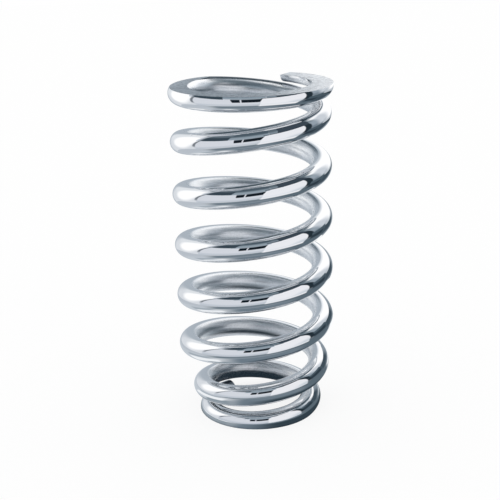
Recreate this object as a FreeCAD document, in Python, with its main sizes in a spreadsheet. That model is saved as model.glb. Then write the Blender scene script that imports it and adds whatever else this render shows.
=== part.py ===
import FreeCAD, Part
import math
import os
from FreeCAD import Placement, Rotation, Vector

# A compression spring wound in one length from round wire. The lower end coil is wound smaller
# than the body, both ends are closed up on their neighbours and ground flat, so that the spring
# stands square. Millimetres, +Z up. The origin is on the spring's axis, in the lower ground face.

doc = FreeCAD.newDocument("helical_spring")


# Driving dimensions

# Alias, value, meaning. Diameters run from wire centre to wire centre, apart from the wire's own.
DIMENSIONS = (
    ("wire_dia", 8.0, "diameter of the wire, mm"),
    ("mean_dia", 52.0, "diameter of the body coils, mm"),
    ("free_length", 127.7, "ground face to ground face, unloaded, mm"),
    ("total_turns", 7.815, "whole length of the wire, turns"),
    ("start_angle", 126.0, "lower wire end, measured from +X round +Z, degrees"),
    ("lower_coil_dia", 42.4, "diameter of the lower end coil, mm"),
    ("lower_tip_dia", 37.4, "diameter at the lower wire end, which is coiled tightest, mm"),
    ("upper_tip_swell", 1.2, "how far the upper wire end has sprung outwards, mm"),
    ("lower_tip_turns", 0.86, "the lower wire end reaches its coil's diameter after this, turns"),
    ("neck_start_turns", 1.21, "the lower end coil begins to widen, turns from the lower end"),
    ("neck_end_turns", 1.97, "the body's diameter is reached, turns from the lower end"),
    ("lower_ramp_turns", 2.43, "the body's pitch is reached, turns from the lower end"),
    ("lower_ramp_lead", 0.24, "part of that ramp that was cut off with the wire, turns"),
    ("upper_ramp_start", 0.95, "the body's pitch ends, turns back from the upper end"),
    ("upper_ramp_turns", 0.45, "length of the ramp that closes the upper end coil, turns"),
    ("lower_end_gap", 0.3, "lower wire end to the coil above it, mm"),
    ("upper_end_gap", 0.5, "upper wire end to the coil under it, mm"),
    ("lower_tip_left", 3.65, "wire left at the lower wire end after grinding, mm"),
    ("upper_tip_left", 3.05, "wire left at the upper wire end after grinding, mm"),
)


def make_sheet():
    """Write the driving dimensions to a spreadsheet, one to a row, each under its alias."""
    sheet = doc.addObject("Spreadsheet::Sheet", "Dimensions")
    for row, (alias, value, meaning) in enumerate(DIMENSIONS, start=1):
        sheet.set("A%d" % row, str(value))
        sheet.set("B%d" % row, meaning)
        sheet.setAlias("A%d" % row, alias)
    doc.recompute()
    return sheet


# Winding law

def late_ease(share):
    """Integral from 0 of 6u^2 - 8u^3 + 3u^4, which climbs from 0 to 1 and stays there."""
    u = min(max(share, 0.0), 1.0)
    return 2 * u**3 - 2 * u**4 + 0.6 * u**5 + max(share - 1.0, 0.0)


def even_ease(share):
    """Integral from 0 of 3u^2 - 2u^3, which climbs from 0 to 1 and stays there."""
    u = min(max(share, 0.0), 1.0)
    return u**3 - u**4 / 2 + max(share - 1.0, 0.0)


def blend(share):
    """Smooth step from 0 to 1."""
    u = min(max(share, 0.0), 1.0)
    return u * u * (3 - 2 * u)


class Winding:
    """Where the wire's centre runs: its radius and height at each turn from the lower end."""

    def __init__(self, sheet):
        for alias, _value, _meaning in DIMENSIONS:
            setattr(self, alias, float(sheet.get(alias)))
        self.lower_height = self.lower_tip_left - self.wire_dia / 2
        self.upper_height = self.free_length - self.upper_tip_left + self.wire_dia / 2
        self.upper_lift_turns = self.upper_ramp_start - self.upper_ramp_turns
        self.solve_pitch()

    def radius(self, turn):
        """Distance of the wire's centre from the axis at a turn."""
        eased = blend(turn / self.lower_tip_turns)
        neck = blend((turn - self.neck_start_turns) / (self.neck_end_turns - self.neck_start_turns))
        sprung = blend(1.0 - (self.total_turns - turn) / self.upper_lift_turns)
        diameter = self.lower_tip_dia
        diameter += (self.lower_coil_dia - self.lower_tip_dia) * eased
        diameter += (self.mean_dia - self.lower_coil_dia) * neck
        return diameter / 2 + self.upper_tip_swell * sprung

    def lower_ramp(self, turn):
        """Turns at full pitch that rise as far as the lower ramp does up to this turn."""
        length = self.lower_ramp_turns + self.lower_ramp_lead
        lead = self.lower_ramp_lead / length
        return length * (late_ease(turn / length + lead) - late_ease(lead))

    def upper_ramp(self, turn_back):
        """The same for the upper end, counted back from it."""
        share = (turn_back - self.upper_lift_turns) / self.upper_ramp_turns
        return self.upper_ramp_turns * even_ease(share)

    def upper_lift(self, turn_back):
        """The same for the sprung tip, whose slope falls evenly to nothing going back from it."""
        back = min(turn_back, self.upper_lift_turns)
        return back - back * back / (2 * self.upper_lift_turns)

    def solve_pitch(self):
        """Find the pitch and both end slopes.

        Each wire end stands clear of the next coil by its gap, and the wire rises by just enough
        to reach from one ground face to the other. Slopes are in mm a turn.
        """
        def first_rise(gap, inner, outer):
            reach = self.wire_dia + gap
            return math.sqrt(reach**2 - (outer - inner)**2)

        last = self.total_turns
        low_rise = first_rise(self.lower_end_gap, self.radius(0.0), self.radius(1.0))
        top_rise = first_rise(self.upper_end_gap, self.radius(last - 1.0), self.radius(last))
        middle = last / 2
        low_first = self.lower_ramp(1.0)
        low_half = self.lower_ramp(middle)
        top_first = self.upper_ramp(1.0)
        top_half = self.upper_ramp(last - middle)
        flat = (middle - low_half) / (1.0 - low_first)
        rise = self.upper_height - self.lower_height
        self.pitch = (rise - top_rise - low_rise * flat) / (
            low_half + top_half - top_first - low_first * flat)
        self.lower_slope = (low_rise - self.pitch * low_first) / (1.0 - low_first)
        self.upper_slope = (top_rise - self.pitch * top_first) / self.upper_lift(1.0)

    def height(self, turn):
        """Height of the wire's centre at a turn."""
        back = self.total_turns - turn
        if turn < back:
            ramp = self.lower_ramp(turn)
            return self.lower_height + self.lower_slope * (turn - ramp) + self.pitch * ramp
        sprung = self.upper_slope * self.upper_lift(back)
        return self.upper_height - sprung - self.pitch * self.upper_ramp(back)

    def point(self, turn):
        """Centre of the wire at a turn."""
        angle = math.radians(self.start_angle) + 2 * math.pi * turn
        radius = self.radius(turn)
        return Vector(radius * math.cos(angle), radius * math.sin(angle), self.height(turn))

    def tangent(self, turn):
        """Direction of the wire at a turn."""
        step = 0.0005
        return (self.point(turn + step) - self.point(turn - step)).normalize()

    def clearance(self, turn):
        """Gap between the wire and the next turn above it, at the same angle."""
        sideways = self.radius(turn + 1.0) - self.radius(turn)
        upwards = self.height(turn + 1.0) - self.height(turn)
        return math.hypot(sideways, upwards) - self.wire_dia


# Wire centreline

def corner_arc(first, corner, last):
    """Arc from first to last that touches both legs of the corner between them."""
    weight = (last - first).Length / 2 / (corner - first).Length
    top = (first + corner * (2 * weight) + last) * (1 / (2 + 2 * weight))
    return Part.Arc(first, top, last).toShape()


def arc_pair(first, first_way, last, last_way):
    """Two arcs that join, tangent to each other and to the given directions at both ends."""
    chord = last - first
    across = chord.dot(first_way + last_way)
    spread = 2 * (1 - first_way.dot(last_way))
    leg = (math.sqrt(across**2 + spread * chord.dot(chord)) - across) / spread
    first_corner = first + first_way * leg
    last_corner = last - last_way * leg
    joint = (first_corner + last_corner) * 0.5
    return [corner_arc(first, first_corner, joint), corner_arc(joint, last_corner, last)]


def make_centreline(winding, stations_per_turn=8):
    """Chain of tangent arcs along the wire, one pair between each station and the next."""
    count = math.ceil(winding.total_turns * stations_per_turn)
    turns = [winding.total_turns * index / count for index in range(count + 1)]
    arcs = []
    for here, there in zip(turns, turns[1:]):
        arcs += arc_pair(winding.point(here), winding.tangent(here),
                         winding.point(there), winding.tangent(there))
    centreline = doc.addObject("Part::Feature", "Centreline")
    centreline.Shape = Part.Wire(arcs)
    return centreline


# Wound wire

def make_wire(winding, centreline):
    """The round section, swept along the centreline."""
    section = doc.addObject("Part::Circle", "WireSection")
    section.setExpression("Radius", "Dimensions.wire_dia / 2")
    facing = Rotation(Vector(0, 0, 1), winding.tangent(0.0))
    section.Placement = Placement(winding.point(0.0), facing)
    wire = doc.addObject("Part::Sweep", "WoundWire")
    wire.Sections = [section]
    wire.Spine = (centreline, [])
    wire.Solid = True
    wire.Frenet = True
    return wire


# Grinding

def grind_ends(wire):
    """What is left between the two grinding wheels, whose faces are free_length apart."""
    kept = doc.addObject("Part::Box", "BetweenWheels")
    kept.setExpression("Length", "2 * Dimensions.mean_dia")
    kept.setExpression("Width", "2 * Dimensions.mean_dia")
    kept.setExpression("Height", "Dimensions.free_length")
    kept.setExpression("Placement.Base.x", "-Length / 2")
    kept.setExpression("Placement.Base.y", "-Width / 2")
    spring = doc.addObject("Part::Common", "GroundSpring")
    spring.Base = wire
    spring.Tool = kept
    spring.Label = "coil_spring"
    return spring


# Checks and output

def check(winding, wire, spring):
    """Stop at any failed object, or where turns touch or the grinding took too much."""
    for item in doc.Objects:
        if "Invalid" in item.State or "Error" in item.State:
            raise RuntimeError(item.Name + " has failed")
    for item in (wire, spring):
        if item.Shape.isNull() or not item.Shape.isValid():
            raise RuntimeError(item.Name + " has no valid shape")
    if len(spring.Shape.Solids) != 1:
        raise RuntimeError("the spring is not one solid")
    samples = int(20 * (winding.total_turns - 1))
    gaps = [winding.clearance(index / 20) for index in range(samples + 1)]
    if min(gaps) < 0:
        raise RuntimeError("two turns of the wire overlap")
    section = math.pi * winding.wire_dia**2 / 4
    wound = section * wire.Spine[0].Shape.Length
    if abs(wire.Shape.Volume / wound - 1) > 0.001:
        raise RuntimeError("the swept wire has the wrong volume")
    if not 0.9 < spring.Shape.Volume / wound < 1:
        raise RuntimeError("the ground ends are wrong")
    print("pitch %.2f, end slopes %.2f and %.2f mm a turn, smallest gap %.2f mm"
          % (winding.pitch, winding.lower_slope, winding.upper_slope, min(gaps)))
    print("wire length %.0f mm, spring volume %.0f mm3"
          % (wire.Spine[0].Shape.Length, spring.Shape.Volume))


def main():
    """Build the spring, check it and write its node."""
    winding = Winding(make_sheet())
    centreline = make_centreline(winding)
    wire = make_wire(winding, centreline)
    spring = grind_ends(wire)
    doc.recompute()
    check(winding, wire, spring)
    os.makedirs("parts", exist_ok=True)
    spring.Shape.exportStep("parts/%s.step" % spring.Label)


main()
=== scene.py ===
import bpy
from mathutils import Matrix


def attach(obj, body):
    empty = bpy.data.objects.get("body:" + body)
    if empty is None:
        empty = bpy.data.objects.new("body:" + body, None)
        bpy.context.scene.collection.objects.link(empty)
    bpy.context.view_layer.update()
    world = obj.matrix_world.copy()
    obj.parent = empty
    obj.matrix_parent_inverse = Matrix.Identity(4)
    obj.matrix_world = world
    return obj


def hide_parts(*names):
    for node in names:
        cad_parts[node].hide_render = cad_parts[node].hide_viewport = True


bl_info = {
    "name": "Ground Coil Spring",
    "version": (1, 0, 0),
    "blender": (4, 5, 0),
    "location": "3D View > Sidebar > Spring",
    "description": "Winds a closed and ground compression spring and sets it in a light tent",
    "category": "Add Mesh",
}

import math

import bpy
import numpy as np
from bpy.props import FloatProperty, FloatVectorProperty, IntProperty, PointerProperty
from mathutils import Matrix, Vector

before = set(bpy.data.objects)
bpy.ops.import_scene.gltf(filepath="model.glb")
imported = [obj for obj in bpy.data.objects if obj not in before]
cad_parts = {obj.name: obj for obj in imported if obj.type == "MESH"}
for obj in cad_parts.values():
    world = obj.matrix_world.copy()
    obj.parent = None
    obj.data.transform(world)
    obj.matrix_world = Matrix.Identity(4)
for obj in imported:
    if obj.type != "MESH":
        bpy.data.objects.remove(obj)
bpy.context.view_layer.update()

SPRING_NODE = "coil_spring"
PIECE_NAME = "ground_coil_spring"


# Properties

def length_prop(name, description, default):
    """A size in metres."""
    return FloatProperty(name=name, description=description, default=default,
                         unit="LENGTH", subtype="DISTANCE", precision=5)


def turns_prop(name, description, default):
    """A length of wire in turns."""
    return FloatProperty(name=name, description=description, default=default, precision=3)


def share_prop(name, description, default):
    """A value from 0 to 1."""
    return FloatProperty(name=name, description=description, default=default, min=0.0, max=1.0)


def colour_prop(name, description, default):
    """A colour of the metal."""
    return FloatVectorProperty(name=name, description=description, default=default,
                               subtype="COLOR", size=3, min=0.0, max=1.0)


class SpringWinding(bpy.types.PropertyGroup):
    """Sizes that the spring is wound and ground to."""

    wire_dia: length_prop("Wire", "Diameter of the wire", 0.008)
    mean_dia: length_prop("Body coils", "Diameter of the body coils, wire centre to centre", 0.052)
    free_length: length_prop("Free length", "Ground face to ground face, unloaded", 0.1277)
    total_turns: turns_prop("Turns", "Whole length of the wire in turns", 7.815)
    start_angle: FloatProperty(
        name="Start", description="Where the lower wire end lies, from +X round +Z",
        default=math.radians(126.0), subtype="ANGLE")
    lower_coil_dia: length_prop("Lower coil", "Diameter of the lower end coil", 0.0424)
    lower_tip_dia: length_prop("Lower tip", "Diameter at the lower wire end", 0.0374)
    upper_tip_swell: length_prop("Tip swell", "How far the upper wire end has sprung out", 0.0012)
    lower_tip_turns: turns_prop("Lower tip length", "Turns until the lower coil has its size", 0.86)
    neck_start_turns: turns_prop("Neck start", "Turns until the lower coil widens", 1.21)
    neck_end_turns: turns_prop("Neck end", "Turns until the body's diameter is reached", 1.97)
    lower_ramp_turns: turns_prop("Lower ramp", "Turns until the body's pitch is reached", 2.43)
    lower_ramp_lead: turns_prop("Ramp lead", "Part of the lower ramp cut off with the wire", 0.24)
    upper_ramp_start: turns_prop("Upper ramp start", "Turns back to where the pitch ends", 0.95)
    upper_ramp_turns: turns_prop("Upper ramp", "Length of the ramp that closes the top coil", 0.45)
    lower_end_gap: length_prop("Lower gap", "Lower wire end to the coil above it", 0.0003)
    upper_end_gap: length_prop("Upper gap", "Upper wire end to the coil under it", 0.0005)
    lower_tip_left: length_prop("Lower tip left", "Wire left at the lower end by grinding", 0.00365)
    upper_tip_left: length_prop("Upper tip left", "Wire left at the upper end by grinding", 0.00305)
    edge_radius: length_prop("Ground edge", "Radius left on the ground edges", 0.00012)
    shear_radius: length_prop("Cut edge", "Radius left on the wire's cut ends", 0.00022)
    rings_per_turn: IntProperty(name="Rings a turn", description="Sections in one turn",
                                default=148, min=24)
    sides: IntProperty(name="Sides", description="Facets round the wire, an even number",
                       default=64, min=16)


class SpringFinish(bpy.types.PropertyGroup):
    """Colours and finish of the metal."""

    chrome_tint: colour_prop("Chrome", "Colour of the plated wire", (0.895, 0.90, 0.91))
    chrome_roughness: share_prop("Chrome roughness", "Blur of the plating", 0.03)
    satin_tint: colour_prop("Inside", "Colour of the unpolished inside", (0.9, 0.92, 0.94))
    satin_roughness: share_prop("Inside roughness", "Blur inside the coil", 0.33)
    ground_tint: colour_prop("Ground faces", "Colour of the ground faces", (0.87, 0.89, 0.91))
    ground_roughness: share_prop("Ground roughness", "Blur of ground and scuffed metal", 0.29)
    # this dark tint is partly scuffed metal and partly painted shade under the upper tip and at the
    # lower wire end
    scuff_and_shade_tint: colour_prop("Scuffed", "Colour of chrome scuffed by the wheel and the cut",
                              (0.3, 0.34, 0.38))
    # dark partly as torn steel and partly as painted shade
    sheared_and_shaded_tint: colour_prop("Cut ends", "Colour of the wire's cut ends", (0.27, 0.3, 0.33))
    sheared_roughness: share_prop("Cut roughness", "Blur of the cut ends", 0.4)


class StudioSettings(bpy.types.PropertyGroup):
    """Light tent and surrounding light."""

    tent_radius: length_prop("Tent radius", "Distance of the tent's wall from the axis", 0.2)
    tent_height: length_prop("Tent height", "Height of the tent's roof over the floor", 0.45)
    key_level: FloatProperty(name="Key", description="Strength of the tent's panels",
                             default=1.12, min=0.0)
    fill_level: FloatProperty(name="Fill", description="Strength of the surrounding light",
                              default=1.0, min=0.0)


# Winding law

def late_ease(share):
    """Integral from 0 of 6u^2 - 8u^3 + 3u^4, which climbs from 0 to 1 and stays there."""
    u = min(max(share, 0.0), 1.0)
    return 2 * u**3 - 2 * u**4 + 0.6 * u**5 + max(share - 1.0, 0.0)


def even_ease(share):
    """Integral from 0 of 3u^2 - 2u^3, which climbs from 0 to 1 and stays there."""
    u = min(max(share, 0.0), 1.0)
    return u**3 - u**4 / 2 + max(share - 1.0, 0.0)


def smooth_step(share):
    """Smooth step from 0 to 1."""
    u = min(max(share, 0.0), 1.0)
    return u * u * (3 - 2 * u)


class Winding:
    """Where the wire's centre runs, turn by turn from the lower end."""

    def __init__(self, sizes):
        self.sizes = sizes
        self.wire_radius = sizes.wire_dia / 2
        self.last = sizes.total_turns
        self.lower_height = sizes.lower_tip_left - self.wire_radius
        self.upper_height = sizes.free_length - sizes.upper_tip_left + self.wire_radius
        self.lift_turns = sizes.upper_ramp_start - sizes.upper_ramp_turns
        self.solve_pitch()

    def radius(self, turn):
        """Distance of the wire's centre from the axis at a turn."""
        s = self.sizes
        eased = smooth_step(turn / s.lower_tip_turns)
        neck = smooth_step((turn - s.neck_start_turns) / (s.neck_end_turns - s.neck_start_turns))
        sprung = smooth_step(1.0 - (self.last - turn) / self.lift_turns)
        diameter = s.lower_tip_dia
        diameter += (s.lower_coil_dia - s.lower_tip_dia) * eased
        diameter += (s.mean_dia - s.lower_coil_dia) * neck
        return diameter / 2 + s.upper_tip_swell * sprung

    def lower_ramp(self, turn):
        """Turns at full pitch that rise as far as the lower ramp does up to this turn."""
        s = self.sizes
        length = s.lower_ramp_turns + s.lower_ramp_lead
        lead = s.lower_ramp_lead / length
        return length * (late_ease(turn / length + lead) - late_ease(lead))

    def upper_ramp(self, turn_back):
        """The same for the upper end, counted back from it."""
        s = self.sizes
        return s.upper_ramp_turns * even_ease((turn_back - self.lift_turns) / s.upper_ramp_turns)

    def upper_lift(self, turn_back):
        """The same for the sprung tip, whose slope falls evenly to nothing going back from it."""
        back = min(turn_back, self.lift_turns)
        return back - back * back / (2 * self.lift_turns)

    def solve_pitch(self):
        """Find the pitch and both end slopes, in metres a turn.

        Each wire end stands clear of the next coil by its gap, and the wire rises by just enough
        to reach from one ground face to the other.
        """
        s = self.sizes

        def first_rise(gap, inner, outer):
            return math.sqrt((s.wire_dia + gap)**2 - (outer - inner)**2)

        last = self.last
        low_rise = first_rise(s.lower_end_gap, self.radius(0.0), self.radius(1.0))
        top_rise = first_rise(s.upper_end_gap, self.radius(last - 1.0), self.radius(last))
        middle = last / 2
        low_first = self.lower_ramp(1.0)
        low_half = self.lower_ramp(middle)
        top_first = self.upper_ramp(1.0)
        top_half = self.upper_ramp(last - middle)
        flat = (middle - low_half) / (1.0 - low_first)
        rise = self.upper_height - self.lower_height
        self.pitch = (rise - top_rise - low_rise * flat) / (
            low_half + top_half - top_first - low_first * flat)
        self.lower_slope = (low_rise - self.pitch * low_first) / (1.0 - low_first)
        self.upper_slope = (top_rise - self.pitch * top_first) / self.upper_lift(1.0)

    def height(self, turn):
        """Height of the wire's centre at a turn."""
        back = self.last - turn
        if turn < back:
            ramp = self.lower_ramp(turn)
            return self.lower_height + self.lower_slope * (turn - ramp) + self.pitch * ramp
        return (self.upper_height - self.upper_slope * self.upper_lift(back)
                - self.pitch * self.upper_ramp(back))

    def point(self, turn):
        """Centre of the wire at a turn."""
        angle = self.sizes.start_angle + 2 * math.pi * turn
        radius = self.radius(turn)
        return np.array((radius * math.cos(angle), radius * math.sin(angle), self.height(turn)))

    def section(self, turn):
        """Centre, outward, upward and forward directions of the wire at a turn."""
        step = 0.0005
        forward = self.point(turn + step) - self.point(turn - step)
        forward /= np.linalg.norm(forward)
        outward = np.array((forward[1], -forward[0], 0.0))
        outward /= np.linalg.norm(outward)
        return self.point(turn), outward, np.cross(outward, forward), forward

    def plane_share(self, turn, level, side):
        """Height of a ground plane over the wire's centre, as a share of the wire's radius."""
        centre, _outward, upward, _forward = self.section(turn)
        return side * (level - centre[2]) / (self.wire_radius * upward[2])

    def grind_turn(self, level, side, ground, whole):
        """Turn at which a ground plane leaves the wire, between a ground and a whole turn."""
        halvings = 50
        for _ in range(halvings):
            middle = (ground + whole) / 2
            if self.plane_share(middle, level, side) < 1.0:
                ground = middle
            else:
                whole = middle
        return (ground + whole) / 2


# Wire mesh

EDGE_STEPS = 4        # facets round a ground edge
FACE_STEPS = 6        # strips across a ground face
SHEAR_STEPS = 4       # rings round the edge of a cut end
WHOLE_AFTER = 1.5     # turns from a wire end to where its ground face has surely ended
CUT_MARGIN = 1.5      # the first ring past a cut end, in radii of its edge

ROUND_WIRE, GROUND_FACE, CUT_END = range(3)       # material slots


def profile(radius, plane, edge, inset, sides, side):
    """Closed outline of a ground wire section: positions and normals in (outward, upward).

    plane is the height of the ground face over the centre. The outline starts at one end of the
    round part, runs under it to the other end, over the edge, across the face and back.
    """
    reach = radius - inset
    level = plane - inset
    edge = max(edge - inset, 0.0)
    lift = level - edge
    across = math.sqrt(max((reach - edge)**2 - lift**2, 0.0))
    start = math.atan2(lift, across)
    places, normals = [], []

    def round_edge(hand, step):
        angle = start + (math.pi / 2 - start) * step / EDGE_STEPS
        normal = (hand * math.cos(angle), math.sin(angle))
        places.append((hand * across + edge * normal[0], lift + edge * normal[1]))
        normals.append(normal)

    for step in range(sides + 1):
        angle = math.pi - start + (math.pi + 2 * start) * step / sides
        normal = (math.cos(angle), math.sin(angle))
        places.append((reach * normal[0], reach * normal[1]))
        normals.append(normal)
    for step in range(1, EDGE_STEPS + 1):
        round_edge(1, step)
    for step in range(1, FACE_STEPS + 1):
        places.append((across * (1 - 2 * step / FACE_STEPS), level))
        normals.append((0.0, 1.0))
    for step in range(EDGE_STEPS - 1, 0, -1):
        round_edge(-1, step)
    places = np.array(places)
    normals = np.array(normals)
    places[:, 1] *= side
    normals[:, 1] *= side
    return places, normals


class WireMesh:
    """Vertices and faces of the spring, gathered ring by ring."""

    def __init__(self):
        self.places, self.normals = [], []
        self.faces, self.face_normals, self.face_uvs, self.face_slots = [], [], [], []

    def add_ring(self, places, normals):
        """Add vertices and give their numbers."""
        first = len(self.places)
        self.places.extend(places)
        self.normals.extend(normals)
        return list(range(first, first + len(places)))

    def add_face(self, corners, uvs, slot, normal=None):
        """Add one face, leaving out corners that fall together."""
        kept, kept_uvs = [], []
        for corner, uv in zip(corners, uvs):
            if corner not in kept:
                kept.append(corner)
                kept_uvs.append(uv)
        if len(kept) < 3:
            return
        self.faces.append(kept)
        self.face_uvs.extend(kept_uvs)
        self.face_slots.append(slot)
        if normal is None:
            self.face_normals.extend(self.normals[corner] for corner in kept)
        else:
            self.face_normals.extend([normal] * len(kept))

    def bridge(self, ring, length, next_ring, next_length, around, sides):
        """Join two rings with quads. The first columns are round wire, the rest ground face."""
        count = len(ring)
        face_start = sides + EDGE_STEPS
        for column in range(count):
            after = (column + 1) % count
            on_face = face_start <= column < face_start + FACE_STEPS
            slot = GROUND_FACE if on_face else ROUND_WIRE
            here, there = around[column], around[column + 1]
            corners = [ring[column], ring[after], next_ring[after], next_ring[column]]
            uvs = [(length, here), (length, there), (next_length, there), (next_length, here)]
            self.add_face(corners, uvs, slot)

    def build(self, name, materials):
        """Make the mesh object."""
        mesh = bpy.data.meshes.new(name)
        mesh.from_pydata([tuple(place) for place in self.places], [], self.faces)
        layer = mesh.uv_layers.new(name="wire")
        layer.data.foreach_set("uv", np.array(self.face_uvs, np.float32).ravel())
        mesh.polygons.foreach_set("material_index", self.face_slots)
        mesh.polygons.foreach_set("use_smooth", [True] * len(self.faces))
        for material in materials:
            mesh.materials.append(material)
        mesh.update()
        if mesh.validate(verbose=False):
            raise RuntimeError("the wire's mesh has bad faces")
        mesh.normals_split_custom_set([tuple(normal) for normal in self.face_normals])
        piece = bpy.data.objects.new(name, mesh)
        bpy.context.scene.collection.objects.link(piece)
        return piece


class GroundEnd:
    """A wire end and the plane that it is ground to."""

    def __init__(self, winding, side):
        self.side = side              # -1 for the lower end, 1 for the upper one
        self.inwards = -side          # which way the turns count from the wire end
        self.level = winding.sizes.free_length if side > 0 else 0.0
        self.tip = winding.last if side > 0 else 0.0
        whole = self.tip + WHOLE_AFTER * self.inwards
        self.leave = winding.grind_turn(self.level, side, self.tip, whole)


class SpringMesh:
    """Rings laid along the wire from both ends to its middle, each with its length of wire."""

    def __init__(self, sizes):
        self.sizes = sizes
        self.winding = Winding(sizes)
        self.mesh = WireMesh()
        self.sides = sizes.sides
        self.radius = self.winding.wire_radius
        self.columns = self.sides + 2 * EDGE_STEPS + FACE_STEPS
        self.around = [2 * math.pi * self.radius * column / self.sides
                       for column in range(self.columns + 1)]
        self.turns = self.spaced(0.0, self.winding.last)
        points = np.array([self.winding.point(turn) for turn in self.turns])
        steps = np.linalg.norm(np.diff(points, axis=0), axis=1)
        self.lengths = np.concatenate(([0.0], np.cumsum(steps)))

    def spaced(self, first, final):
        """Turns from one to another, evenly spaced."""
        count = max(int(abs(final - first) * self.sizes.rings_per_turn), 2)
        return [first + (final - first) * index / count for index in range(count + 1)]

    def along(self, turn):
        """Length of wire from the lower end to a turn."""
        return float(np.interp(turn, self.turns, self.lengths))

    def ground_ring(self, turn, end, inset=0.0, ahead=0.0, lean=0.0):
        """Ring of a ground section, moved ahead and inset for the rounding of a cut end."""
        centre, outward, upward, forward = self.winding.section(turn)
        plane = self.winding.plane_share(turn, end.level, end.side) * self.radius
        places, normals = profile(self.radius, plane, self.sizes.edge_radius, inset, self.sides,
                                  end.side)
        placed = centre + forward * ahead + places[:, :1] * outward + places[:, 1:] * upward
        turned = normals[:, :1] * outward + normals[:, 1:] * upward
        turned = turned * math.cos(lean) + forward * math.sin(lean)
        return self.mesh.add_ring(placed, turned)

    def round_ring(self, turn, side):
        """Ring of whole wire. Its seam lies where the ground face begins further on."""
        centre, outward, upward, _forward = self.winding.section(turn)
        angle = side * (math.pi / 2 + 2 * math.pi * np.arange(self.sides) / self.sides)
        normals = np.cos(angle)[:, None] * outward + np.sin(angle)[:, None] * upward
        return self.mesh.add_ring(centre + self.radius * normals, normals)

    def turned(self, ring):
        """A round ring of the lower half as the upper half sees it: begun on top, and back."""
        half = self.sides // 2
        return [ring[(half - step) % self.sides] for step in range(self.sides)]

    def closed(self, ring):
        """The columns of a round ring, with the ones of the missing ground face closed up."""
        return ring + [ring[0]] * (self.columns - self.sides)

    def cut_rings(self, end):
        """Rings over the rounded edge of a cut end, from its flat outwards."""
        rounding = self.sizes.shear_radius
        for step in range(SHEAR_STEPS + 1):
            lean = math.pi / 2 * (1 - step / SHEAR_STEPS)
            inset = rounding * (1 - math.cos(lean))
            ahead = end.inwards * rounding * (1 - math.sin(lean))
            ring = self.ground_ring(end.tip, end, inset, ahead, -end.inwards * lean)
            yield ring, self.along(end.tip) + ahead

    def ground_rings(self, end):
        """Rings from past the cut end to where the ground face leaves the wire."""
        rounding_turns = self.sizes.shear_radius / (math.pi * self.sizes.mean_dia) * end.inwards
        for turn in self.spaced(end.tip + CUT_MARGIN * rounding_turns, end.leave)[:-1]:
            yield self.ground_ring(turn, end), self.along(turn)

    def round_rings(self, end, middle):
        """Rings of whole wire, up to the one in the middle."""
        for turn in self.spaced(end.leave, middle)[:-1]:
            yield self.closed(self.round_ring(turn, end.side)), self.along(turn)

    def cap(self, end, ring):
        """Flat of a cut end."""
        _centre, _outward, _upward, forward = self.winding.section(end.tip)
        corners = ring[::-1]
        self.mesh.add_face(corners, [(0.0, 0.0)] * len(corners), CUT_END, -end.inwards * forward)

    def wind(self):
        """Wind both halves of the spring onto the ring that they share."""
        middle = self.winding.last / 2
        joint = None
        for end in (GroundEnd(self.winding, -1), GroundEnd(self.winding, 1)):
            rings = [*self.cut_rings(end), *self.ground_rings(end),
                     *self.round_rings(end, middle)]
            if joint is None:
                joint = self.round_ring(middle, end.side)
            else:
                joint = self.turned(joint)
            rings.append((self.closed(joint), self.along(middle)))
            for (ring, length), (next_ring, next_length) in zip(rings, rings[1:]):
                self.mesh.bridge(ring, length, next_ring, next_length, self.around, self.sides)
            self.cap(end, rings[0][0])
        return self.mesh


# Nodes

class Nodes:
    """Short way to write the nodes of a material or a world."""

    def __init__(self, owner):
        self.owner = owner
        owner.use_nodes = True
        self.tree = owner.node_tree
        self.tree.nodes.clear()

    def add(self, kind, inputs=(), **settings):
        """Add a node with its settings, and link or set its inputs."""
        node = self.tree.nodes.new(kind)
        for key, value in settings.items():
            setattr(node, key, value)
        for key, value in dict(inputs).items():
            if isinstance(value, bpy.types.NodeSocket):
                self.tree.links.new(value, node.inputs[key])
            else:
                node.inputs[key].default_value = value
        return node

    def split(self, vector):
        """X, Y and Z of a vector."""
        return self.add("ShaderNodeSeparateXYZ", {0: vector}).outputs

    def math(self, operation, *values):
        """Result of an operation on one or two values."""
        inputs = dict(enumerate(values))
        return self.add("ShaderNodeMath", inputs, operation=operation).outputs[0]

    def ranged(self, value, low, high, to_low=0.0, to_high=1.0, easing="SMOOTHSTEP"):
        """A value carried from one range to another, and held past both ends."""
        return self.add("ShaderNodeMapRange", {
            "Value": value, "From Min": low, "From Max": high, "To Min": to_low,
            "To Max": to_high}, interpolation_type=easing).outputs["Result"]

    def noise(self, place, scale, detail, roughness=0.5):
        """Uneven value from 0 to 1, with so many patches a metre."""
        return self.add("ShaderNodeTexNoise", {
            "Vector": place, "Scale": scale, "Detail": detail,
            "Roughness": roughness}).outputs["Fac"]

    def bump(self, height, strength, distance, under=None):
        """Normal of an uneven surface, laid over another one's."""
        inputs = {"Height": height, "Strength": strength, "Distance": distance}
        if under is not None:
            inputs["Normal"] = under
        return self.add("ShaderNodeBump", inputs).outputs[0]

    def mix_values(self, share, first, second):
        """Value between two."""
        inputs = {0: share, 2: first, 3: second}
        return self.add("ShaderNodeMix", inputs, data_type="FLOAT").outputs[0]

    def mix_colours(self, share, first, second, blend="MIX"):
        """Colour between two, or the one times the other."""
        inputs = {0: share, 6: first, 7: second}
        return self.add("ShaderNodeMix", inputs, data_type="RGBA", blend_type=blend).outputs[2]

    def metal(self, colour, roughness, normal):
        """Finish a material as metal."""
        shader = self.add("ShaderNodeBsdfPrincipled", {
            "Base Color": colour, "Metallic": 1.0, "Roughness": roughness, "Normal": normal})
        self.add("ShaderNodeOutputMaterial", {"Surface": shader.outputs[0]})
        return self.owner


# Metal

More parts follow.
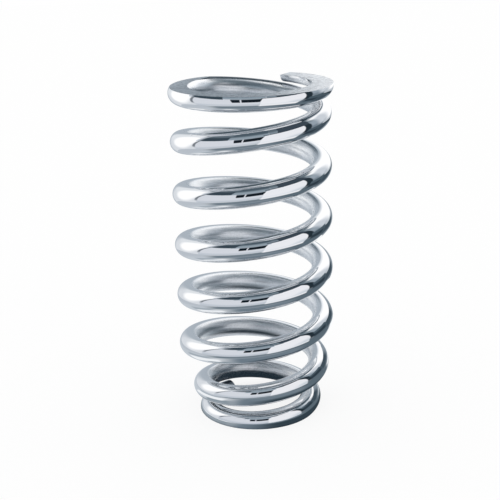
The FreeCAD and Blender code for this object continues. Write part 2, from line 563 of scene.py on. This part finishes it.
# Each span runs from where a change begins to where it is complete.
INSIDE_SPAN = (-0.1, 0.75)          # from bright to satin, by how far the wire faces inwards
TOP_SPAN = (0.0037, 0.0157)         # metres under the top, where the wheel reaches inside
TOP_SATIN = 0.85                    # share of the satin that it leaves there
FOOT_SPAN = (0.014, 0.036)          # metres over the foot, where it reaches inside too
FOOT_SATIN = 0.8                    # share of the satin that it leaves there
SHADE_SPAN = (0.01, 0.045)          # metres over the foot, where the satin is darkened as painted shade
FOOT_SHADE = 0.8                    # how dark that painted shade is
RIM_SPAN = (0.0035, 0.0045)         # metres under the top, where the wire is scuffed by the wheel and darkened as painted shade under the upper tip
RIM_NORMAL = (0.9, 0.95)            # how far the wire faces up there
END_SPAN = (0.004, 0.016)           # metres from the lower wire end, which is scuffed by the cut and darkened as painted shade under the coil above
SPECK_SPAN = (0.35, 0.65)           # grain at the darkest and at the lightest specks
SPECK_SHADES = (0.93, 1.05)         # their shades of the satin
POLISH_SPREAD = (0.5, 1.6)          # shares of the plating's roughness, off and on a drawn line
LINE_SCALE = (40.0, 2200.0, 1.0)    # drawn lines a metre, along the wire and round it
LINE_STRENGTH = 0.012
LINE_FADE = 0.4                     # satin at which the drawn lines are gone
GRAIN_STRENGTH = 0.03

PIT_SPAN = (0.4, 0.6)               # grain at the darkest pits and at the lightest spots
PIT_SHADES = (0.66, 1.14)           # their shades of the ground steel
CLOUD_DULLER = 0.1                  # added to a ground face's roughness where it is dullest
CLOUD_BRIGHTER = 0.08               # taken from it where it is brightest


def chrome_material(sizes, finish):
    """Chrome over drawn wire: bright where a polishing wheel reaches it, satin inside the coil."""
    nodes = Nodes(bpy.data.materials.new("chrome_wire"))
    coords = nodes.add("ShaderNodeTexCoord").outputs
    place = coords["Object"]
    along, around, _flat = nodes.split(coords["UV"])
    height = nodes.split(place)["Z"]
    upward = nodes.split(coords["Normal"])["Z"]
    depth = nodes.math("SUBTRACT", sizes.free_length, height)
    inward = nodes.math("SINE", nodes.math("DIVIDE", around, sizes.wire_dia / 2))

    satin = nodes.math("MULTIPLY", nodes.ranged(inward, *INSIDE_SPAN),
                       nodes.ranged(depth, *TOP_SPAN, TOP_SATIN, 1.0))
    satin = nodes.math("MULTIPLY", satin, nodes.ranged(height, *FOOT_SPAN, FOOT_SATIN, 1.0))
    drawn = nodes.add("ShaderNodeMapping", {"Vector": coords["UV"], "Scale": LINE_SCALE})
    lines = nodes.noise(drawn.outputs[0], scale=1.0, detail=3.0)
    grain = nodes.noise(place, scale=1900.0, detail=2.0)
    wave = nodes.noise(place, scale=70.0, detail=1.0)
    line_strength = nodes.ranged(satin, 0.0, LINE_FADE, LINE_STRENGTH, 0.0)
    grain_strength = nodes.math("MULTIPLY", satin, GRAIN_STRENGTH)
    normal = nodes.bump(wave, strength=0.03, distance=0.002)
    normal = nodes.bump(lines, line_strength, distance=0.0002, under=normal)
    normal = nodes.bump(grain, grain_strength, distance=0.0001, under=normal)

    least, most = POLISH_SPREAD
    polished = nodes.ranged(lines, 0.0, 1.0, finish.chrome_roughness * least,
                            finish.chrome_roughness * most)
    roughness = nodes.mix_values(satin, polished, finish.satin_roughness)
    # grain specks, times painted shade that darkens the inside near the foot
    specks_and_foot_shade = nodes.math("MULTIPLY", nodes.ranged(grain, *SPECK_SPAN, *SPECK_SHADES),
                        nodes.ranged(height, *SHADE_SPAN, FOOT_SHADE, 1.0))
    satin_and_foot_shade = nodes.mix_colours(1.0, (*finish.satin_tint, 1.0), specks_and_foot_shade, "MULTIPLY")
    colour = nodes.mix_colours(satin, (*finish.chrome_tint, 1.0), satin_and_foot_shade)

    # darker, rougher band: scuffed metal, plus painted shade under the upper tip and at the lower
    # wire end
    rim = nodes.math("MULTIPLY", nodes.ranged(upward, *RIM_NORMAL),
                     nodes.ranged(depth, *RIM_SPAN, 1.0, 0.0))
    scuff_and_shade = nodes.math("MAXIMUM", rim, nodes.ranged(along, *END_SPAN, 1.0, 0.0))
    colour = nodes.mix_colours(scuff_and_shade, colour, (*finish.scuff_and_shade_tint, 1.0))
    roughness = nodes.mix_values(scuff_and_shade, roughness, finish.ground_roughness)
    return nodes.metal(colour, roughness, normal)


def ground_material(finish):
    """Ground steel: fine pits, in a face that is duller in some places than in others."""
    nodes = Nodes(bpy.data.materials.new("ground_steel_face"))
    place = nodes.add("ShaderNodeTexCoord").outputs["Object"]
    grain = nodes.noise(place, scale=850.0, detail=5.0, roughness=0.7)
    cloud = nodes.noise(place, scale=60.0, detail=3.0)
    shade = nodes.ranged(grain, *PIT_SPAN, *PIT_SHADES, easing="LINEAR")
    colour = nodes.mix_colours(1.0, (*finish.ground_tint, 1.0), shade, "MULTIPLY")
    roughness = nodes.ranged(cloud, 0.0, 1.0, finish.ground_roughness - CLOUD_BRIGHTER,
                             finish.ground_roughness + CLOUD_DULLER, easing="LINEAR")
    return nodes.metal(colour, roughness, nodes.bump(grain, strength=0.5, distance=0.0001))


def sheared_material(finish):
    """The wire's cut end: torn steel, plated over, tinted dark partly as painted shade."""
    nodes = Nodes(bpy.data.materials.new("sheared_wire_end"))
    place = nodes.add("ShaderNodeTexCoord").outputs["Object"]
    tear = nodes.noise(place, scale=900.0, detail=4.0)
    normal = nodes.bump(tear, strength=0.5, distance=0.0003)
    return nodes.metal((*finish.sheared_and_shaded_tint, 1.0), finish.sheared_roughness, normal)


class SPRING_OT_wind(bpy.types.Operator):
    """Wind the spring, grind its ends and plate it"""

    bl_idname = "spring.wind"
    bl_label = "Wind spring"

    def execute(self, context):
        sizes = context.scene.spring_winding
        finish = context.scene.spring_finish
        materials = [chrome_material(sizes, finish), ground_material(finish),
                     sheared_material(finish)]
        piece = SpringMesh(sizes).wind().build(PIECE_NAME, materials)
        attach(piece, "root")
        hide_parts(SPRING_NODE)
        return {"FINISHED"}


# Studio

MM = 1000.0                  # millimetres in a metre
WHOLE_ROUND = (-180, 180)    # degrees
WALL_FACET = 2               # degrees
CARD_FACET = 4               # degrees
FLOOR_CARD_LEVEL = 0.00002   # the tent's floor, just over z = 0
FLOOR_LEVEL = -0.00005       # the white floor, just under the foot
FLOOR_HALF = 2.0             # half the white floor's side
FLOOR_WHITE = 0.96           # the white floor's own shade, which takes the shadow
FLOOR_GLOW = 0.85            # share of plain white where the camera or the metal sees the floor

# The dark opening in front, whose width grows with the height. Degrees and millimetres.
OPENING_MIDDLE = -5.75
OPENING_HALF = 17.25
OPENING_LEVEL = 108.0        # height at which its half is that wide
OPENING_WIDENS = 0.0387      # degrees a millimetre

CAMERA_PLACE = (0.0, -0.411437, 0.190569)
CAMERA_YAW = -0.00371        # radians
CAMERA_PITCH = 0.29831       # radians, downwards
CAMERA_ROLL = -0.02981       # radians
SENSOR_WIDTH = 36.0          # millimetres
FOCAL_LENGTH = 81.05         # millimetres


def display(red, green, blue, level):
    """Linear colour of a display colour from 0 to 255, times a level."""
    linear = [level * ((value / 255.0 + 0.055) / 1.055)**2.4 for value in (red, green, blue)]
    return (*linear, 1.0)


class PanelPaint(Nodes):
    """Soft-edged light and dark areas on a stage panel, placed by angle, height and reach.

    The angle is in degrees from the camera's side round to the right, the height and the reach
    from the spring's axis are in millimetres. The spread goes from -1 to 1 across the opening in
    front.
    """

    def __init__(self, name, ground, level):
        super().__init__(bpy.data.materials.new(name))
        self.level = level
        right, back, up = self.split(self.add("ShaderNodeTexCoord").outputs["Object"])
        front = self.math("MULTIPLY", back, -1.0)
        squares = self.math("ADD", self.math("MULTIPLY", right, right),
                            self.math("MULTIPLY", back, back))
        angle = self.math("MULTIPLY", self.math("ARCTAN2", right, front), math.degrees(1.0))
        height = self.math("MULTIPLY", up, MM)
        reach = self.math("MULTIPLY", self.math("SQRT", squares), MM)
        over = self.math("SUBTRACT", height, OPENING_LEVEL)
        half = self.math("ADD", OPENING_HALF, self.math("MULTIPLY", over, OPENING_WIDENS))
        spread = self.math("DIVIDE", self.math("SUBTRACT", angle, OPENING_MIDDLE), half)
        self.axes = {"angle": angle, "height": height, "reach": reach, "spread": spread}
        self.colour = display(*ground, level)

    def lay(self, mask, tone):
        """Put a tone over what is there, where the mask is 1."""
        self.colour = self.mix_colours(mask, self.colour, display(*tone, self.level))

    def area(self, tone, **limits):
        """Cover the part between limits: on each axis the first, the last and their softness."""
        mask = None
        for axis, (first, last, *soft) in limits.items():
            for place, falling in ((first, False), (last, True)):
                if place is None:
                    continue
                width = soft[-1] if falling else soft[0]
                edge = self.ranged(self.axes[axis], place - width / 2, place + width / 2)
                if falling:
                    edge = self.math("SUBTRACT", 1.0, edge)
                mask = edge if mask is None else self.math("MULTIPLY", mask, edge)
        self.lay(mask, tone)

    def oval(self, tone, centre, size, soft):
        """Cover an oval on the wall, given by its middle and half its width and height."""
        squares = []
        for axis, middle, half in zip(("angle", "height"), centre, size):
            share = self.math("DIVIDE", self.math("SUBTRACT", self.axes[axis], middle), half)
            squares.append(self.math("MULTIPLY", share, share))
        apart = self.math("SQRT", self.math("ADD", *squares))
        self.lay(self.ranged(apart, 1.0 - soft, 1.0 + soft, 1.0, 0.0), tone)

    def finish(self):
        """Make the panel shine in its colours."""
        glow = self.add("ShaderNodeEmission", {"Color": self.colour, "Strength": 1.0})
        self.add("ShaderNodeOutputMaterial", {"Surface": glow.outputs[0]})
        return self.owner


def wall_paint(level):
    """The tent's wall: pale sheets left and in front, slate and white panels at the right."""
    wall = PanelPaint("tent_wall", (166, 175, 184), level)
    # Left side, and the back behind the spring
    wall.area((86, 99, 109), angle=(None, -146, 16), height=(190, None, 50))
    wall.area((213, 217, 222), angle=(-152, -76, 24, 6))
    wall.area((238, 241, 245), angle=(152, 175, 24, 8))
    wall.area((172, 181, 189), angle=(150, 174, 10, 8), height=(None, 84, 16))
    wall.area((172, 182, 190), angle=(166, None, 14), height=(186, 330, 30))
    wall.area((252, 253, 254), angle=(146, 168, 16), height=(186, 330, 30))
    # Sheets in front, to both sides of the camera
    wall.area((190, 197, 206), angle=(-82, 13, 3, 3))
    wall.area((209, 213, 220), angle=(-82, 13, 3, 3), height=(45, None, 50))
    wall.area((220, 225, 231), angle=(12.5, 90, 1.5, 1), height=(None, 60, 60))
    wall.area((232, 233, 237), angle=(12.5, 90, 1.5, 1), height=(25, None, 50))
    wall.area((202, 209, 216), angle=(56, 90, 24, 1), height=(None, 62, 80))
    # Left side, with its oval light and the dark edge of the sheet in front
    wall.area((226, 230, 234), angle=(-104, -82, 8, 3), height=(120, None, 60))
    wall.area((220, 224, 228), angle=(-154, -128, 10, 6), height=(100, None, 40))
    wall.oval((255, 255, 255), centre=(-109, 158), size=(25, 127), soft=0.24)
    wall.area((118, 124, 131), angle=(-84, -79, 2.5, 1.5), height=(60, 240, 50, 20))
    # Right side, slate below and white above
    wall.area((76, 91, 100), angle=(82, 150, 6, 16), height=(None, 88, 8))
    wall.area((42, 55, 64), angle=(108, 156, 20, 16), height=(60, 88, 14, 8))
    wall.area((112, 125, 136), angle=(84, 162, 4, 20), height=(88, None, 8))
    wall.area((146, 158, 169), angle=(84, 162, 4, 20), height=(128, None, 50))
    wall.area((125, 138, 147), angle=(84, 105, 4, 10), height=(230, None, 40))
    wall.area((200, 206, 213), angle=(102, 166, 14, 20), height=(104, 380, 40, 60))
    wall.area((248, 249, 250), angle=(104, 166, 10, 12), height=(262, 400, 60, 40))
    wall.area((186, 193, 200), angle=(114, 152, 6, 14), height=(76, 126, 10, 20))
    wall.area((254, 254, 255), angle=(128, 168, 18, 12), height=(96, 400, 16, 80))
    # Dark upright flag between the sheets in front and the right side
    wall.area((96, 108, 117), angle=(74, 88, 3, 3), height=(None, 35, 40))
    wall.area((36, 48, 56), angle=(75, 86.5, 2, 3), height=(30, None, 40))
    # Upper rim, and the dark opening in front with a pale bar up it
    wall.area((96, 109, 118), height=(330, None, 60))
    wall.area((146, 157, 166), spread=(-1.0, 1.0, 0.04), height=(186, None, 10))
    wall.area((20, 28, 36), spread=(-1.0, -0.41, 0.04), height=(104, 191, 6, 12))
    wall.area((20, 28, 36), spread=(-0.31, 1.0, 0.04), height=(104, 191, 6, 12))
    return wall.finish()


def floor_paint(level):
    """The tent's floor: painted shadow at the foot, slate in front, pale left and white right of
    the back.
    """
    sheet = PanelPaint("tent_floor", (200, 205, 210), level)
    # Left, with a pale ring round the foot and painted shadow nearest to it
    sheet.area((182, 189, 197), angle=(-165, -66, 20, 20))
    sheet.area((190, 197, 204), angle=(-165, -66, 20, 20), reach=(None, 100, 30))
    sheet.area((158, 168, 177), angle=(-104, -60, 10, 16), reach=(58, 80, 8, 20))
    sheet.area((134, 146, 155), angle=(-74, -34, 8, 20), reach=(None, 38, 8))
    sheet.area((236, 239, 242), angle=(-104, -46, 8, 8), reach=(35, 55, 4, 6))
    sheet.area((150, 160, 168), angle=(-150, -40, 16, 20), reach=(None, 28, 4))
    # Right back, with painted shadow near the foot
    sheet.area((244, 246, 248), angle=(126, None, 14))
    sheet.area((160, 170, 178), angle=(100, 168, 14, 14), reach=(None, 68, 20))
    # Front and right
    sheet.area((112, 125, 135), angle=(-63, 122, 30, 12), reach=(78, 168, 30, 16))
    sheet.area((90, 104, 114), angle=(40, 122, 60, 12))
    sheet.area((74, 88, 98), angle=(84, 122, 8, 12), reach=(158, None, 30))
    sheet.area((234, 235, 238), angle=(12, 74, 4, 3), reach=(138, None, 18))
    # Painted shadow round the foot
    sheet.area((108, 122, 133), angle=(-34, 60, 34, 40), reach=(None, 80, 30))
    sheet.area((50, 63, 72), angle=(0, 112, 44, 16), reach=(None, 36, 14))
    sheet.area((36, 48, 57), reach=(None, 23, 5))
    return sheet.finish()


def roof_paint(level):
    """The tent's roof: dark, and white behind the spring."""
    roof = PanelPaint("tent_roof", (78, 91, 100), level)
    roof.area((190, 198, 206), angle=(124, None, 20), reach=(None, 250, 30))
    roof.area((250, 251, 252), angle=(158, None, 16), reach=(None, 155, 40))
    roof.area((250, 251, 252), angle=(None, -104, 24), reach=(None, 150, 40))
    return roof.finish()


def ring_panel(name, material, edges, angle, facet):
    """Panel that only the metal sees, round the axis from one angle to another.

    Each of its two edges is given by its reach from the axis and its height.
    """
    first, last = angle
    steps = max(int((last - first) / facet), 1)
    corners, faces = [], []
    for index in range(steps + 1):
        turn = math.radians(first + (last - first) * index / steps)
        for reach, height in edges:
            corners.append((reach * math.sin(turn), -reach * math.cos(turn), height))
    for index in range(steps):
        faces.append((2 * index, 2 * index + 2, 2 * index + 3, 2 * index + 1))
    mesh = bpy.data.meshes.new(name)
    mesh.from_pydata(corners, [], faces)
    mesh.materials.append(material)
    panel = bpy.data.objects.new(name, mesh)
    bpy.context.scene.collection.objects.link(panel)
    panel.visible_camera = False
    panel.visible_shadow = False
    panel.visible_diffuse = False


def round_wall(name, material, radius, heights, angle=WHOLE_ROUND):
    """Upright wall from one height to another."""
    low, high = heights
    ring_panel(name, material, ((radius, low), (radius, high)), angle, WALL_FACET)


def flat_card(name, material, reaches, height, angle=WHOLE_ROUND):
    """Level card from one reach to another."""
    inner, outer = reaches
    ring_panel(name, material, ((outer, height), (inner, height)), angle, CARD_FACET)


def set_flags(level, tent_radius):
    """Level cards over the spring, which the tops of its coils mirror."""
    left = PanelPaint("dark_flag", (54, 67, 77), level)
    left.area((100, 113, 123), reach=(None, 60, 24))
    left.area((112, 125, 135), reach=(123, None, 12))
    left.area((190, 197, 206), angle=(None, -79, 10))
    right = PanelPaint("dim_flag", (58, 69, 79), level)
    front = PanelPaint("grey_flag", (142, 155, 166), level)
    front.area((114, 128, 139), reach=(None, 118, 30))
    front.area((74, 88, 98), reach=(None, 94, 26))
    corner = PanelPaint("corner_flag", (126, 139, 149), level)
    corner.area((114, 127, 137), reach=(None, 102, 16))
    corner.area((88, 101, 110), reach=(None, 78, 16))
    back = PanelPaint("back_flag", (56, 69, 78), level)
    rim = PanelPaint("rim_flag", (58, 69, 79), level)
    flat_card("left_flag", left.finish(), (0.0, 0.132), 0.165, (-86, -34))
    flat_card("right_flag", right.finish(), (0.0, 0.112), 0.163, (31, 80))
    flat_card("front_flag", front.finish(), (0.0, tent_radius), 0.206, (-42, 20))
    flat_card("corner_flag", corner.finish(), (0.0, 0.145), 0.189, (20, 37))
    flat_card("back_flag", back.finish(), (0.044, 0.112), 0.18, (166, 226))
    flat_card("rim_flag", rim.finish(), (0.095, 0.112), 0.163, (12, 31))


def set_slate(level):
    """Low slate walls at the right, which the right-hand sides of the coils mirror."""
    block = PanelPaint("slate_block", (72, 87, 97), level)
    block.area((46, 58, 68), angle=(None, 106, 8), height=(30, 66, 14))
    block.area((88, 102, 112), height=(None, 22, 20))
    step = PanelPaint("slate_step", (62, 76, 86), level)
    step.area((96, 108, 117), height=(None, 14, 20))
    step.area((122, 133, 142), angle=(124, None, 14), height=(None, 24, 24))
    step.area((134, 145, 154), angle=(138, None, 12))
    round_wall("slate_block", block.finish(), 0.132, (0.0, 0.096), (80, 110))
    round_wall("slate_step", step.finish(), 0.132, (0.0, 0.076), (110, 150))


def set_tent(studio):
    """Panels round the spring that the metal mirrors and the camera does not see."""
    level = studio.key_level
    radius, roof_height = studio.tent_radius, studio.tent_height
    round_wall("tent_wall", wall_paint(level), radius, (0.0, roof_height))
    flat_card("tent_floor", floor_paint(level), (0.0, radius), FLOOR_CARD_LEVEL)
    set_flags(level, radius)
    set_slate(level)
    flat_card("tent_roof", roof_paint(level), (0.0, radius), roof_height)


def seen_or_mirrored(nodes):
    """1 for camera, glossy and transmission rays, 0 for the rest."""
    path = nodes.add("ShaderNodeLightPath").outputs
    seen = nodes.math("MAXIMUM", path["Is Camera Ray"], path["Is Glossy Ray"])
    return nodes.math("MAXIMUM", seen, path["Is Transmission Ray"])


def set_floor(context):
    """White floor, which keeps the spring's shadow."""
    nodes = Nodes(bpy.data.materials.new("white_floor"))
    white = (FLOOR_WHITE, FLOOR_WHITE, FLOOR_WHITE, 1.0)
    matte = nodes.add("ShaderNodeBsdfDiffuse", {"Color": white})
    glow = nodes.add("ShaderNodeEmission", {"Color": (1.0, 1.0, 1.0, 1.0), "Strength": 1.0})
    share = nodes.math("MULTIPLY", seen_or_mirrored(nodes), FLOOR_GLOW)
    mix = nodes.add("ShaderNodeMixShader", {0: share, 1: matte.outputs[0], 2: glow.outputs[0]})
    nodes.add("ShaderNodeOutputMaterial", {"Surface": mix.outputs[0]})
    corners = [(x * FLOOR_HALF, y * FLOOR_HALF, FLOOR_LEVEL)
               for x, y in ((-1, -1), (1, -1), (1, 1), (-1, 1))]
    mesh = bpy.data.meshes.new("floor")
    mesh.from_pydata(corners, [], [(0, 1, 2, 3)])
    mesh.materials.append(nodes.owner)
    floor = bpy.data.objects.new("floor", mesh)
    context.scene.collection.objects.link(floor)


def set_world(context, studio):
    """White surroundings that light the spring at the fill's level."""
    nodes = Nodes(bpy.data.worlds.new("white_surround"))
    strength = nodes.ranged(seen_or_mirrored(nodes), 0.0, 1.0, studio.fill_level, 1.0,
                            easing="LINEAR")
    back = nodes.add("ShaderNodeBackground", {"Color": (1.0, 1.0, 1.0, 1.0),
                                              "Strength": strength})
    nodes.add("ShaderNodeOutputWorld", {"Surface": back.outputs[0]})
    context.scene.world = nodes.owner


def set_camera(context):
    """Camera at the photograph's angle."""
    ahead = Vector((math.sin(CAMERA_YAW) * math.cos(CAMERA_PITCH),
                    math.cos(CAMERA_YAW) * math.cos(CAMERA_PITCH), -math.sin(CAMERA_PITCH)))
    level = Vector((math.cos(CAMERA_YAW), -math.sin(CAMERA_YAW), 0.0))
    over = level.cross(ahead)
    right = math.cos(CAMERA_ROLL) * level + math.sin(CAMERA_ROLL) * over
    up = -math.sin(CAMERA_ROLL) * level + math.cos(CAMERA_ROLL) * over
    turn = Matrix((right, up, -ahead)).transposed().to_4x4()
    lens = bpy.data.cameras.new("photo_camera")
    lens.sensor_width = SENSOR_WIDTH
    lens.lens = FOCAL_LENGTH
    lens.clip_start = 0.01
    camera = bpy.data.objects.new("photo_camera", lens)
    camera.matrix_world = Matrix.Translation(CAMERA_PLACE) @ turn
    context.scene.collection.objects.link(camera)
    context.scene.camera = camera


class SPRING_OT_stage(bpy.types.Operator):
    """Set up the floor, the light tent, the world and the camera"""

    bl_idname = "spring.stage"
    bl_label = "Set stage"

    def execute(self, context):
        studio = context.scene.spring_studio
        set_floor(context)
        set_world(context, studio)
        set_tent(studio)
        set_camera(context)
        context.scene.view_settings.view_transform = "Standard"
        return {"FINISHED"}


# Add-on

class SPRING_PT_panel(bpy.types.Panel):
    """Sizes, finish and stage of the spring"""

    bl_idname = "SPRING_PT_panel"
    bl_label = "Coil spring"
    bl_space_type = "VIEW_3D"
    bl_region_type = "UI"
    bl_category = "Spring"

    def draw(self, context):
        layout = self.layout
        for owner in (context.scene.spring_winding, context.scene.spring_finish,
                      context.scene.spring_studio):
            box = layout.box()
            for name in owner.__annotations__:
                box.prop(owner, name)
        layout.operator(SPRING_OT_wind.bl_idname)
        layout.operator(SPRING_OT_stage.bl_idname)


CLASSES = (SpringWinding, SpringFinish, StudioSettings, SPRING_OT_wind, SPRING_OT_stage,
           SPRING_PT_panel)


def register():
    """Add the classes and the scene's settings."""
    for item in CLASSES:
        bpy.utils.register_class(item)
    bpy.types.Scene.spring_winding = PointerProperty(type=SpringWinding)
    bpy.types.Scene.spring_finish = PointerProperty(type=SpringFinish)
    bpy.types.Scene.spring_studio = PointerProperty(type=StudioSettings)


def unregister():
    """Take the scene's settings and the classes away again."""
    del bpy.types.Scene.spring_studio
    del bpy.types.Scene.spring_finish
    del bpy.types.Scene.spring_winding
    for item in reversed(CLASSES):
        bpy.utils.unregister_class(item)


def main():
    """Make the spring and its stage."""
    register()
    bpy.ops.spring.wind()
    bpy.ops.spring.stage()


if __name__ == "__main__":
    main()
